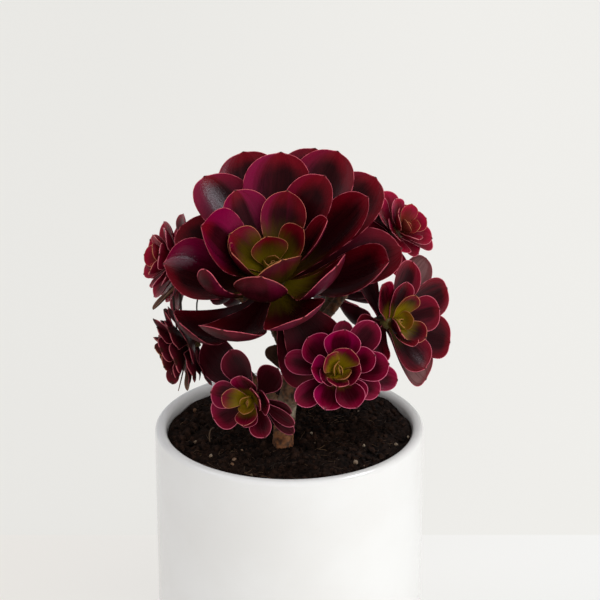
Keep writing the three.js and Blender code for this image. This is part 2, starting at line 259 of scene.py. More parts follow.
def close_hole(piece):
    """In edit mode, close the one open edge with a face, and select everything."""
    select_in_edit(piece, "EDGE", lambda edge: edge.is_boundary)
    bpy.ops.mesh.edge_face_add()
    bpy.ops.mesh.select_all(action="SELECT")


def shade_smooth(piece, degrees=40):
    activate(piece)
    bpy.ops.object.shade_smooth_by_angle(angle=math.radians(degrees))


def report(piece):
    triangles = sum(len(face.vertices) - 2 for face in piece.data.polygons)
    print(f"{piece.name}: {triangles} triangles")


# %% The pot
POT = {"radius": 75 * MM, "height": 143 * MM, "wall": 6.5 * MM, "floor": 9 * MM, "lip": 3 * MM,
       "foot": 4 * MM}
POT_SIDES = 176
RIM_EDGE = 4 * MM
NEAR = 0.01 * MM

deselect()
bpy.ops.mesh.primitive_cylinder_add(
    vertices=POT_SIDES, radius=POT["radius"], depth=POT["height"], location=(0, 0, POT["height"] / 2))
pot = newest("pot_glazed")
bpy.ops.object.transform_apply(location=True)
edit()
select_in_edit(pot, "FACE", lambda face: face.normal.z > 0.9)
bpy.ops.mesh.inset(thickness=POT["wall"])
down = POT["floor"] - POT["height"]
bpy.ops.mesh.extrude_region_move(TRANSFORM_OT_translate={"value": (0, 0, down)})
rims = POT["height"] - NEAR
select_in_edit(pot, "EDGE", lambda edge: edge.verts[0].co.z > rims and edge.calc_length() < RIM_EDGE)
bpy.ops.mesh.bevel(offset=POT["lip"], segments=8, affect="EDGES")
select_in_edit(pot, "EDGE", lambda edge: max(end.co.z for end in edge.verts) < NEAR)
bpy.ops.mesh.bevel(offset=POT["foot"], segments=6, affect="EDGES")
leave()
shade_smooth(pot)
report(pot)

# %% [markdown]
# Glaze is white, glossy and never quite even: its tone drifts by a per cent or two, and its gloss has a
# faint orange-peel. The unglazed ring under the foot is dull and creamy. A painted map could hold this,
# but noise on the object's own coordinates needs no unwrapping. The drift is a group, as soil, roots and
# bark use it too.

# %% Helpers for groups and materials
def new_group(name, inputs, outputs):
    """An empty group. Inputs come with their defaults: none for a vector, a tuple for a colour."""
    group = bpy.data.node_groups.new(name, "ShaderNodeTree")
    for label, default in inputs.items():
        kind = {type(None): "Vector", tuple: "Color"}.get(type(default), "Float")
        socket = group.interface.new_socket(name=label, in_out="INPUT", socket_type=f"NodeSocket{kind}")
        if default is not None:
            socket.default_value = default
    for label, kind in outputs.items():
        group.interface.new_socket(name=label, in_out="OUTPUT", socket_type=f"NodeSocket{kind}")
    return group, add_node(group, "NodeGroupInput").outputs, add_node(group, "NodeGroupOutput").inputs


def use_group(tree, group, **values):
    node = add_node(tree, "ShaderNodeGroup", node_tree=group)
    return feed(tree, node, {label.replace("_", " "): value for label, value in values.items()})


def dress(tree, shader, colour, roughness, height=None, depth=0, gloss=0.5, strength=1):
    """Give a shader its colour, roughness and gloss and, if there is a height, a bump of that depth."""
    feed(tree, shader, {"Base Color": colour, "Roughness": roughness, "Specular IOR Level": gloss})
    if height:
        raised = made(tree, "Bump", {"Height": height, "Distance": depth, "Strength": strength})
        feed(tree, shader, {"Normal": raised[0]})


# %% A group that drifts between two colours
drift_group, given, result = new_group(
    "tone_drift",
    {"Place": None, "Light": (1, 1, 1, 1), "Dark": (0, 0, 0, 1), "Scale": 40, "Amount": 1},
    {"Colour": "Color"})
cloud = noise(drift_group, given["Place"], given["Scale"], 4, 0.5)
share = math_node(drift_group, "MULTIPLY", ramp(drift_group, cloud, 0.32, 0.68), given["Amount"])
drift_group.links.new(mix_colours(drift_group, share, given["Light"], given["Dark"]), result["Colour"])


def drifting(tree, place, light, dark, scale, amount=1):
    """A colour that drifts between two tones, 0 to 255."""
    return use_group(tree, drift_group, Place=place, Light=linear(*light), Dark=linear(*dark), Scale=scale,
                     Amount=amount)["Colour"]


def rough_material(name, light, dark, scale, roughness, grain=None, depth=0, gloss=0.5):
    """A material with a drifting tone. A grain, the numbers of a noise, raises it by a depth."""
    material, tree, shader, place = new_material(name)
    height = noise(tree, place, *grain) if grain else None
    dress(tree, shader, drifting(tree, place, light, dark, scale), roughness, height, depth, gloss)
    return material


# %% White glaze and bare clay
glaze, tree, shader, place = new_material("white_glaze")
bare = ramp(tree, split(tree, place)[2], 0.4 * MM, 0.1 * MM)
tone = drifting(tree, place, (240, 240, 239), (235, 234, 232), 18, 0.8)
peel = noise(tree, place, 260, 2)
glazed = ramp(tree, peel, 0.3, 0.7, 0.16, 0.24)
rough = math_node(tree, "MAXIMUM", glazed, math_node(tree, "MULTIPLY", bare, 0.8))
clay = linear(214, 203, 186)
dress(tree, shader, mix_colours(tree, bare, tone, clay), rough, peel, 0.05 * MM, strength=0.6)
pot.data.materials.append(glaze)

# %% [markdown]
# Potting soil is dark crumbs of peat and bark with rootlets and pale grit. A material alone would stay
# flat at the rim, so the top is a dense sheet pushed up and down by noises, with crumbs, grit and fibres
# on it as real pieces. A square grid pressed into a disc keeps its cells even, where a fan would crowd
# them in the middle.

# %% The soil's own shape
SOIL = {"top": 137.4, "heap": 2.2, "heap_spread": 32, "bump": 0.9, "fall": 0.012, "rise": 0.025,
        "clear": 0.35}
TRUNK_FOOT = Vector((-3, -19, 0))
CAD_POT_SIDES = 40
SOIL_CELLS = 190
LOOSE_FROM_WALL = 0.03
soil_radius = (POT["radius"] - POT["wall"]) / MM * math.cos(math.pi / CAD_POT_SIDES) - SOIL["clear"]
soil_bottom = POT["floor"] / MM + SOIL["clear"]


def soil_height(x, y):
    """The soil's surface in mm: heaped round the trunk, higher on the right and at the back, and uneven."""
    to_trunk = np.hypot(x - TRUNK_FOOT.x, y - TRUNK_FOOT.y)
    heap = SOIL["heap"] * np.exp(-(to_trunk / SOIL["heap_spread"]) ** 2)
    lumps = np.sin(x * 0.21 + 1.3) * np.sin(y * 0.17 + 0.4) + 0.6 * np.sin(x * 0.09 - y * 0.13 + 2)
    return SOIL["top"] + heap + SOIL["fall"] * x + SOIL["rise"] * y + SOIL["bump"] * lumps


# %% Helpers for a mesh's points
def get_points(piece, fact="co"):
    """The points' places, or their normals, as rows of three."""
    flat = np.empty(len(piece.data.vertices) * 3)
    piece.data.vertices.foreach_get(fact, flat)
    return flat.reshape(-1, 3)


def set_points(piece, points):
    piece.data.vertices.foreach_set("co", np.asarray(points, float).ravel())
    piece.data.update()


def apply_modifier(piece, kind, **settings):
    modifier = piece.modifiers.new(kind.lower(), kind)
    for key, value in settings.items():
        setattr(modifier, key, value)
    activate(piece)
    bpy.ops.object.modifier_apply(modifier=modifier.name)


def push(piece, name, kind, size, strength, group="", middle=0.5, **settings):
    """Push a piece's points in and out by a noise."""
    texture = bpy.data.textures.new(name, kind)
    texture.noise_scale = size
    for key, value in settings.items():
        setattr(texture, key, value)
    apply_modifier(
        piece, "DISPLACE", texture=texture, strength=strength, mid_level=middle, vertex_group=group)


# %% Press a grid into a disc and close it underneath
deselect()
bpy.ops.mesh.primitive_grid_add(x_subdivisions=SOIL_CELLS, y_subdivisions=SOIL_CELLS, size=2)
soil = newest("soil_bed")
across, deep = get_points(soil).T[:2]
disc_x = across * np.sqrt(1 - deep ** 2 / 2) * soil_radius
disc_y = deep * np.sqrt(1 - across ** 2 / 2) * soil_radius
set_points(soil, np.stack([disc_x, disc_y, soil_height(disc_x, disc_y)], -1) * MM)
edge_share = np.hypot(disc_x, disc_y) / soil_radius
loose = soil.vertex_groups.new(name="loose")
for index, value in enumerate(edge_share):
    loose.add([index], float(np.clip((1 - value) / LOOSE_FROM_WALL, 0.12, 1)), "REPLACE")
push(soil, "clods", "CLOUDS", 7 * MM, 3.2 * MM, "loose", noise_depth=2)
push(soil, "crumbs", "VORONOI", 2.6 * MM, 2.0 * MM, "loose", middle=0.35)
push(soil, "grains", "CLOUDS", 1.1 * MM, 0.9 * MM, "loose", noise_depth=1)

activate(soil)
edit()
select_in_edit(soil, "EDGE", lambda edge: edge.is_boundary)
bpy.ops.mesh.extrude_region_move()
mesh = bmesh.from_edit_mesh(soil.data)
for vertex in mesh.verts:
    if vertex.select:
        vertex.co.z = soil_bottom * MM
bmesh.update_edit_mesh(soil.data)
close_hole(soil)
bpy.ops.mesh.normals_make_consistent(inside=False)
leave()
shade_smooth(soil, 60)
report(soil)

# %% Soil colours
peat, tree, shader, place = new_material("damp_peat")
fine_tone = drifting(tree, place, (44, 30, 23), (11, 7, 5), 420)
wide_tone = drifting(tree, place, (46, 31, 24), (13, 9, 7), 90)
grain = noise(tree, place, 900, 3, 0.7)
dress(tree, shader, mix_colours(tree, 0.4, fine_tone, wide_tone), 0.92, grain, 0.5 * MM, 0.08)
soil.data.materials.append(peat)

# %% [markdown]
# Crumbs and rootlets lie at random from a fixed seed, and grit at places of its own. A particle system
# would be quicker, but it wouldn't be kept as real meshes, so copies of a few shapes are placed in a
# loop, each with its own turn and size, and joined.

# %% Scatter helpers
def copy_piece(template, name):
    twin = bpy.data.objects.new(name, template.data.copy())
    bpy.context.scene.collection.objects.link(twin)
    return twin


def join_pieces(pieces, name):
    activate(pieces[0])
    for piece in pieces:
        piece.select_set(True)
    bpy.ops.object.join()
    joined = bpy.context.object
    joined.name = name
    joined.data.name = name
    return joined


def soil_spot(luck, reach=0.95, keep_off=8.5):
    """A random place on the soil, clear of the trunk, in mm."""
    while True:
        radius = soil_radius * reach * math.sqrt(luck.random())
        angle = luck.uniform(0, 2 * math.pi)
        x, y = radius * math.cos(angle), radius * math.sin(angle)
        if math.hypot(x - TRUNK_FOOT.x, y - TRUNK_FOOT.y) > keep_off:
            return x, y


# %% Helpers for lumps
def lump(name, seed, roughness):
    """A small uneven stone or crumb of radius 1 mm with a few dozen faces."""
    luck = random.Random(seed)
    deselect()
    bpy.ops.mesh.primitive_cube_add(size=1.3 * MM)
    piece = newest(name)
    edit()
    bpy.ops.mesh.subdivide(number_cuts=1, smoothness=1.0)
    leave()
    points = get_points(piece)
    swell = np.array([1 + luck.uniform(-roughness, roughness) for _ in points])
    set_points(piece, points * swell[:, None])
    return piece


def random_turn(luck):
    return Euler([luck.uniform(0, 2 * math.pi) for _ in range(3)]).to_matrix().to_4x4()


def anywhere(luck, count, smallest, largest):
    """Random places on the soil, each with a size, and small ones more often than large."""
    for _ in range(count):
        yield *soil_spot(luck), smallest + (largest - smallest) * luck.random() ** 2.2


def scatter(lumps, name, luck, spots, sink, material):
    """Copies of the lumps at spots on the soil, each with its own turn and size, in mm."""
    copies = []
    for x, y, size in spots:
        stretch = Matrix.Diagonal((size * luck.uniform(0.8, 1.4), size * luck.uniform(0.7, 1.1), size, 1))
        z = float(soil_height(x, y)) + size * sink
        place = Matrix.Translation(Vector((x, y, z)) * MM)
        copies.append(copy_piece(lumps[luck.randrange(len(lumps))], name))
        copies[-1].data.transform(place @ random_turn(luck) @ stretch)
    for shape in lumps:
        bpy.data.objects.remove(shape)
    scattered = join_pieces(copies, name)
    scattered.data.materials.append(material)
    shade_smooth(scattered, 50)
    report(scattered)
    return scattered


# %% Crumbs
CRUMBS = 1300
crumb_paint = rough_material(
    "peat_crumbs", (52, 35, 27), (11, 7, 5), 260, 0.9, (1400, 2, 0.7), 0.25 * MM, 0.08)
luck = random.Random(11)
crumbs = scatter([lump(f"crumb_{seed}", seed, 0.28) for seed in range(5)], "soil_crumbs", luck,
                 anywhere(luck, CRUMBS, 0.5, 1.9), 0.35, crumb_paint)

# %% Grit, each at its place with its size
GRIT = [(-54, 29, 1.02), (-59, 10, 0.82), (-52, -12, 1.29), (-43, -29, 0.95), (-30, -36, 1.09),
        (-31, -40, 1.02), (-20, -14, 0.48), (-26, -26, 0.61), (-5, -55, 0.75), (-20, -54, 0.82),
        (20, 23, 0.61), (39, 24, 0.54), (48, 8, 0.61), (12, -6, 0.82), (14, -18, 0.61), (12, -29, 0.61),
        (41, -20, 0.75), (27, -31, 0.95), (36, -39, 1.29), (59, -17, 1.02), (41, -43, 0.75),
        (66, -8, 0.68), (8, 52, 0.88), (-24, 50, 0.68)]
grit_paint = rough_material("pale_grit", (162, 148, 126), (112, 72, 42), 70, 0.75, (1500, 2), 0.15 * MM)
grit = scatter([lump(f"grit_{seed}", seed, 0.16) for seed in range(40, 43)], "soil_grit",
               random.Random(23), GRIT, 0.55, grit_paint)


# %% Helpers for rootlets: thin tubes along short curves
def tube(name, points, radii, rounding=0):
    """A round tube along points, as a curve turned into a mesh."""
    curve = bpy.data.curves.new(name, "CURVE")
    curve.dimensions = "3D"
    curve.bevel_depth = 1.0
    curve.bevel_resolution = rounding
    curve.use_fill_caps = True
    curve.resolution_u = 4
    spline = curve.splines.new("NURBS")
    spline.points.add(len(points) - 1)
    spline.use_endpoint_u = True
    spline.order_u = 4
    for target, point, radius in zip(spline.points, points, radii):
        target.co = (*(Vector(point) * MM), 1)
        target.radius = radius * MM
    piece = bpy.data.objects.new(name, curve)
    bpy.context.scene.collection.objects.link(piece)
    activate(piece)
    bpy.ops.object.convert(target="MESH")
    return bpy.context.object


def rootlet(luck, steps=5):
    """A rootlet that wanders over the soil, with one end a little up in the air."""
    length, thickness, lift = luck.uniform(4, 15), luck.uniform(0.1, 0.2), luck.uniform(0, 1.4)
    x, y = soil_spot(luck, 0.9)
    heading = luck.uniform(0, 2 * math.pi)
    inside = soil_radius * 0.96
    points, radii = [], []
    for step in range(steps):
        share = step / (steps - 1)
        points.append((x, y, float(soil_height(x, y)) + 0.5 + lift * share ** 2))
        radii.append(thickness * (1 - 0.6 * share))
        heading += luck.uniform(-0.7, 0.7)
        x += math.cos(heading) * length / steps
        y += math.sin(heading) * length / steps
        back = inside / max(math.hypot(x, y), inside)
        x, y = x * back, y * back
    return tube("rootlet", points, radii)


# %% Rootlets
ROOTLETS = 210
luck = random.Random(31)
roots = [rootlet(luck) for _ in range(ROOTLETS)]
roots.append(tube("curled_rootlet", [(-42, -2, 141), (-44, -5, 142.5), (-45, -10, 142), (-44, -16, 139)],
                  [0.3, 0.42, 0.4, 0.3], 1))
rootlets = join_pieces(roots, "soil_rootlets")
root_paint = rough_material("rootlets", (112, 84, 56), (38, 25, 18), 45, 0.8)
rootlets.data.materials.append(root_paint)
report(rootlets)

# %% [markdown]
# The trunk and its eight branches are woody: brown bark, ringed by the scars of fallen leaves, greener
# towards the young ends. Each follows a few points with a radius, as its solid does. Tubes that only
# cross leave hard creases, so they are joined, remeshed into one skin and smoothed.

# %% Rosette places and stem points
def head_axis(heading, elevation):
    h, e = math.radians(heading), math.radians(elevation)
    return Vector((math.cos(e) * math.cos(h), math.cos(e) * math.sin(h), math.sin(e)))


# Each rosette's centre in mm, and the heading and elevation that it faces, in degrees.
HEADS = {
    "main": ((-8.5, -28, 244.3), 270, 65),
    "front_right": ((25.9, -56, 199.3), 278, 30),
    "right": ((55.7, -16, 210.7), 318, 18),
    "front_left": ((-19.7, -50, 179.8), 243, 8),
    "upper_right": ((62, 30, 247), 325, 40),
    "upper_left": ((-66.5, 24, 231.5), 194, 15),
    "left": ((-60.9, -10, 192.2), 190, -20),
    "back_right": ((28, 52, 202), 60, 18),
    "back_left": ((-24, 49, 215), 125, 20),
}
CORES = {
    "main": [(0.5, 0.9), (4, -0.5), (8.4, -8), (8.4, -19), (6, -26)],
    "side": [(0.4, 0.7), (3, -1), (4.6, -7), (3, -12.5)],
}
SEAT = 0.35
TRUNK = [(-3, -19, 121.4, 6.2), (-3.5, -19, 142, 5.8), (-2, -18.5, 156, 5.4), (0.5, -18, 178, 4.8),
         (0.5, -17.5, 200, 4.5), (-4, -17, 213, 4.5)]
BRANCHES = {
    "front_left": [(-2, -19, 153, 3.3), (-7, -27, 164, 3.1)],
    "front_right": [(-1, -19, 163, 3.4), (10, -29, 176, 3)],
    "right": [(0, -18, 170, 3.4), (15, -10, 181, 3.1), (32, -4, 194, 2.9)],
    "upper_right": [(0, -18, 184, 3.4), (12, 4, 195, 3.1), (28, 22, 209, 2.8)],
    "upper_left": [(0, -17, 204, 3.3), (-9, -11, 213, 3.1), (-29, 0, 221, 2.9), (-40, 17, 224, 2.8)],
    "left": [(-2, -19, 160, 3.3), (-16, -16, 172, 3.1), (-32, -9, 187, 2.9)],
    "back_right": [(0, -18, 178, 3.3), (6, 8, 183, 3.1), (14, 24, 190, 2.8)],
    "back_left": [(0, -17, 190, 3.3), (-7, 4, 197, 3.1), (-13, 18, 204, 2.8)],
}

# %% Smooth routes for the stems
STRAIGHT_END = 7
TRUNK_SAMPLES, BRANCH_SAMPLES = 48, 30


def core_of(name):
    return CORES["main" if name == "main" else "side"]


def stem_end(name, radii):
    """The last two points of a stem, in line with the rosette that it carries."""
    centre, heading, elevation = HEADS[name]
    axis = head_axis(heading, elevation)
    end = Vector(centre) + axis * (core_of(name)[-1][1] - SEAT)
    before = end - axis * STRAIGHT_END
    return [(*before, radii[0]), (*end, radii[1])]


def along_spline(route, samples):
    """Points with a radius on a smooth curve through all the route's points."""
    route = np.array(route, float)
    padded = np.vstack([2 * route[0] - route[1], route, 2 * route[-1] - route[-2]])
    result = []
    for t in np.linspace(0, len(route) - 1, samples):
        k = min(int(t), len(route) - 2)
        f = t - k
        a, b, c, d = padded[k:k + 4]
        result.append(0.5 * (2 * b + (c - a) * f + (2 * a - 5 * b + 4 * c - d) * f ** 2
                             + (3 * b - a - 3 * c + d) * f ** 3))
    return np.array(result)


routes = {"trunk": along_spline(TRUNK + [stem_end("main", (4.6, 4.6))[1]], TRUNK_SAMPLES)}
for name, points in BRANCHES.items():
    routes[name] = along_spline(points + stem_end(name, (2.7, 2.6)), BRANCH_SAMPLES)
print("stems in mm:", {name: round(float(np.linalg.norm(np.diff(r[:, :3], axis=0), axis=1).sum()))
                       for name, r in routes.items()})

# %% One skin over all the stems
SKIN_CELL = 0.75 * MM
stem = join_pieces([tube(name, [tuple(p[:3]) for p in route], [p[3] for p in route], 6)
                    for name, route in routes.items()], "stem_bark")
apply_modifier(stem, "REMESH", mode="VOXEL", voxel_size=SKIN_CELL)
apply_modifier(stem, "SMOOTH", factor=0.5, iterations=4)
report(stem)

# %% [markdown]
# A fallen leaf leaves a lens-shaped scar, and the scars climb the stem in the plant's own spiral. They
# could be carved one by one, but how far a point lies along its stem and round it says how deep it is in
# a scar. The same facts are kept on the mesh for the bark's colours.

# %% Where each point lies on its stem and in a scar
GOLDEN_DEGREES = 137.5
SCAR_STEP = 1.15
SCAR_HALF_TURN, SCAR_HALF_HEIGHT = 0.62, 0.95
SCAR_RIM, SCAR_RIM_WIDTH = 1.15, 0.22
SCAR_DEPTH, RIM_HEIGHT = 0.35, 0.25


def nearest_on_stems(points):
    """For each point: its stem's distance walked in mm, the angle round it, and the share of its length."""
    best = np.full(len(points), 1e9)
    found = np.zeros((3, len(points)))
    for route in routes.values():
        centres, radii = route[:, :3], route[:, 3]
        steps = np.concatenate([[0], np.cumsum(np.linalg.norm(np.diff(centres, axis=0), axis=1))])
        tangents = np.gradient(centres, axis=0)
        tangents /= np.linalg.norm(tangents, axis=1)[:, None]
        away = np.linalg.norm(points[:, None, :] - centres[None], axis=2) - radii[None]
        k = away.argmin(axis=1)
        offset = points - centres[k]
        walked = steps[k] + (offset * tangents[k]).sum(1)
        first = np.cross(tangents[k], [0.31, 0.77, 0.56])
        first /= np.linalg.norm(first, axis=1)[:, None]
        second = np.cross(tangents[k], first)
        angle = np.arctan2((offset * second).sum(1), (offset * first).sum(1))
        closer = away.min(axis=1) < best
        best[closer] = away.min(axis=1)[closer]
        found[:, closer] = np.stack([walked, angle, np.clip(walked / steps[-1], 0, 1)])[:, closer]
    return found


def scar_pattern(walked, angle):
    """How deep each point lies in a leaf scar, 0 to 1, and how far it is up a scar's raised rim."""
    dent, rim = np.zeros(len(walked)), np.zeros(len(walked))
    for index in range(int(walked.max() / SCAR_STEP) + 2):
        turn = (angle - index * math.radians(GOLDEN_DEGREES) + math.pi) % (2 * math.pi) - math.pi
        reach = np.hypot(turn / SCAR_HALF_TURN, (walked - index * SCAR_STEP) / SCAR_HALF_HEIGHT)
        dent = np.maximum(dent, np.clip(1 - reach ** 2, 0, 1))
        rim = np.maximum(rim, np.exp(-((reach - SCAR_RIM) / SCAR_RIM_WIDTH) ** 2))
    return dent, rim


def keep_on_mesh(piece, name, values):
    """Keep a number on each point, the same for all or one each."""
    spread = np.zeros(len(piece.data.vertices), np.float32)
    spread[:] = values
    piece.data.attributes.new(name, "FLOAT", "POINT").data.foreach_set("value", spread)


# %% Carve the scars
points = get_points(stem) / MM
walked, angle, share = nearest_on_stems(points)
dent, rim = scar_pattern(walked, angle)
relief = (RIM_HEIGHT * rim - SCAR_DEPTH * dent) * np.clip((1 - share) * 12, 0, 1)
set_points(stem, (points + get_points(stem, "normal") * relief[:, None]) * MM)
keep_on_mesh(stem, "scar", dent)
keep_on_mesh(stem, "young", share)
push(stem, "bark", "CLOUDS", 2.2 * MM, 0.5 * MM, noise_depth=3)
shade_smooth(stem, 60)


# %% Bark colours
def kept(tree, name):
    return add_node(tree, "ShaderNodeAttribute", attribute_name=name).outputs["Fac"]


bark, tree, shader, place = new_material("bark")
height = split(tree, place)[2]
old_bark = drifting(tree, place, (146, 88, 46), (54, 29, 17), 420)
grey_bark = drifting(tree, place, (168, 156, 134), (92, 74, 58), 220)
greyed = math_node(tree, "MINIMUM", ramp(tree, height, 149 * MM, 157 * MM, 0.1, 0.85),
                   ramp(tree, height, 162 * MM, 172 * MM, 0.85, 0.25))
wood = mix_colours(tree, greyed, old_bark, grey_bark)
green = mix_colours(tree, 0.5, linear(92, 78, 40), linear(70, 34, 30))
skin = mix_colours(tree, ramp(tree, kept(tree, "young"), 0.45, 1), wood, green)
scarred = math_node(tree, "MULTIPLY", kept(tree, "scar"), 0.55)
scars = mix_colours(tree, scarred, skin, linear(56, 34, 22))
dress(tree, shader, scars, 0.85, noise(tree, place, 800, 3, 0.65), 0.3 * MM)
stem.data.materials.append(bark)

# %% [markdown]
# One leaf makes the whole plant: a thick waxy paddle, narrow at its foot, widest at two thirds, round at
# its end, and hollowed like a spoon. Modelling each by hand would take days, so one flat blank is
# copied, and its points are carried to their place by one rule. In the blank, x goes across from -1 to
# 1, y along from the foot, 0, to the tip, 1, and z is the upper or lower skin. The rule mirrors it, so
# its faces are turned.

# %% The leaf blank
RIM_POWER = 2.6
THINS_FROM = 0.8
TINY = 1e-5


def leaf_blank(name, columns, rows):
    """A closed flat blade: an upper and a lower skin that meet at the margin and at the tip."""
    deselect()
    bpy.ops.mesh.primitive_grid_add(x_subdivisions=columns, y_subdivisions=rows, size=2)
    piece = newest(name)
    edit()
    bpy.ops.mesh.duplicate_move(TRANSFORM_OT_translate={"value": (0, 0, -1)})
    bpy.ops.mesh.flip_normals()
    leave()
    x, y, z = get_points(piece).T
    u, s = np.sin(x * math.pi / 2), np.sin((y + 1) / 2 * math.pi / 2)
    near_tip = ((s - THINS_FROM) / (1 - THINS_FROM)).clip(0, 1)
    lens_height = (1 - np.abs(u) ** RIM_POWER) ** 0.75 * np.sqrt(1 - near_tip ** 2)
    set_points(piece, np.stack([u, s, np.where(z < -0.5, -1, 1) * lens_height], -1))
    edit()
    bpy.ops.mesh.remove_doubles(threshold=TINY)
    select_in_edit(piece, "VERT", lambda vertex: vertex.co.y > 1 - 10 * TINY)
    bpy.ops.mesh.merge(type="CENTER")
    close_hole(piece)
    bpy.ops.mesh.flip_normals()
    leave()
    bpy.ops.object.shade_smooth()
    report(piece)
    return piece


large_blank = leaf_blank("large_leaf_blank", 16, 26)
small_blank = leaf_blank("small_leaf_blank", 12, 20)

# %% [markdown]
# The rule is that of the solids: the midrib leaves the core at a rise and curls along its length, the
# blade is hollowed across by a bend, and its width follows one outline. The fine mesh adds a waved
# margin, a channel over the midrib, soft ripples and a small point at the tip, all different on each
# leaf.

# %% The rule of a leaf
KINDS = {
    "large": {"thick": 2.1, "widest": 0.7, "cup": (45, 38), "step": 0.55, "root_ring": 5},
    "small": {"thick": 1.7, "widest": 0.7, "cup": (42, 34), "step": 0.5, "root_ring": 2},
    "bud": {"thick": 1.7, "widest": 0.66, "cup": (50, 50)},
}
FOOT_WIDTH = 0.22
SHOULDER_POWER = 1.7
TIP_POWER = 2.05
CURL_POWER = 1.4
CUP_FADE = (1.15, 0.45)
THICK_FADE = (1.35, 0.75)
SPINE_STEPS = 96
POINT_LENGTH, POINT_WIDTH, POINT_FROM = 0.03, 0.045, 0.9
RIPPLE = 0.0035
CHANNEL_DEPTH, CHANNEL_WIDTH = 0.22, 0.07


def half_outline(s, widest):
    """Half the leaf's width at a share s of its length, as a share of its half width."""
    rising = np.sin(np.clip(s / widest, 0, 1) * math.pi / 2) ** SHOULDER_POWER
    beyond = np.clip((s - widest) / (1 - widest), 0, 1)
    falling = np.clip(1 - beyond ** TIP_POWER, 0, 1) ** (1 / TIP_POWER)
    return np.where(s < widest, FOOT_WIDTH + (1 - FOOT_WIDTH) * rising, falling)


def margin_distance(u, s, kind, length, width):
    """How far each point of the flat blade is from its margin, in mm."""
    t = np.sin(np.linspace(0, math.pi / 2, 70))
    line_x, line_y = half_outline(t, kind["widest"]) * width / 2, t * length
    x, y = np.abs(u) * half_outline(s, kind["widest"]) * width / 2, s * length
    return np.sqrt(((x[:, None] - line_x) ** 2 + (y[:, None] - line_y) ** 2).min(axis=1))


def spine_line(rise, curl, length, ring, drop):
    """The midrib in the plane of the leaf: how far out and how far up, at each of its steps."""
    s = (np.arange(SPINE_STEPS) + 0.5) / SPINE_STEPS
    slope = np.radians(rise + curl * s ** CURL_POWER)
    step = length / SPINE_STEPS
    return [start + np.concatenate([[0], np.cumsum(way(slope))]) * step
            for start, way in ((ring, np.cos), (-drop, np.sin))]


def surface_relief(u, s, lens_height, width, character):
    """Waves of the margin, soft ripples along the blade and the channel over the midrib, in mm."""
    a, b, c = character["phases"]
    wave = character["wave"] * width * np.abs(u) ** 2.5 * np.sin(s * character["waves"] + a + np.sign(u))
    wave *= np.sin(np.clip(s * 1.15, 0, 1) * math.pi) ** 0.5
    ripple = RIPPLE * width * (np.sin(u * 7 + b) + 0.6 * np.sin(u * 14 + c + 3 * s)) * (1 - np.abs(u) ** 4)
    channel = CHANNEL_DEPTH * np.exp(-(u / CHANNEL_WIDTH) ** 2)
    channel *= np.clip(lens_height, 0, 1) * np.clip((0.95 - s) * 3, 0, 1)
    return wave + ripple * np.sin(s * math.pi) - channel


# %% Carry the blank's points to one leaf
def leaf_points(blank, row, drop, ring, kind, cup, character):
    """The blank's points carried to one leaf, in mm, in the head's frame: axis +Z, direction 0 +X."""
    direction, rise, curl, length, width, roll = row
    u, s, lens_height = blank.T
    d, r = math.radians(direction), math.radians(roll)
    outward, side = np.array([math.cos(d), math.sin(d), 0]), np.array([-math.sin(d), math.cos(d), 0])
    axis = np.array([0, 0, 1.0])
    out, up = spine_line(rise, curl, length, ring, drop)
    steps = np.linspace(0, 1, SPINE_STEPS + 1)
    slope = np.radians(rise + curl * s ** CURL_POWER)[:, None]
    spine = np.interp(s, steps, out)[:, None] * outward + np.interp(s, steps, up)[:, None] * axis
    along = np.cos(slope) * outward + np.sin(slope) * axis
    face = np.cross(along, side)
    across = side * math.cos(r) + face * math.sin(r)
    face = face * math.cos(r) - side * math.sin(r)
    half = half_outline(s, kind["widest"]) * width / 2 * (1 + character["lopsided"] * u)
    bend = math.radians(cup) * (CUP_FADE[0] - CUP_FADE[1] * s)
    thick = kind["thick"] * (THICK_FADE[0] - THICK_FADE[1] * s) / 2
    sideways = half * np.sin(bend * u) / bend
    lift = half * (1 - np.cos(bend * u)) / bend + thick * lens_height
    lift += surface_relief(u, s, lens_height, width, character)
    point = POINT_LENGTH * width * np.exp(-(sideways / (POINT_WIDTH * width)) ** 2)
    point *= np.clip((s - POINT_FROM) / (1 - POINT_FROM), 0, 1) ** 3
    return spine + across * sideways[:, None] + face * lift[:, None] + along * point[:, None]


# %% [markdown]
# A rosette adds leaves from its youngest, upright in the heart, to its oldest at the bottom. On the
# large rosette, the three in front and the upper right one every leaf has its own row, as its solid has:
# direction round the axis, rise, curl, length, width and, where there is one, roll, in degrees and mm.
# The others follow the plant's spiral, a golden angle from leaf to leaf. Three small leaves close each
# side rosette's bud, and six tiny ones fill every heart.

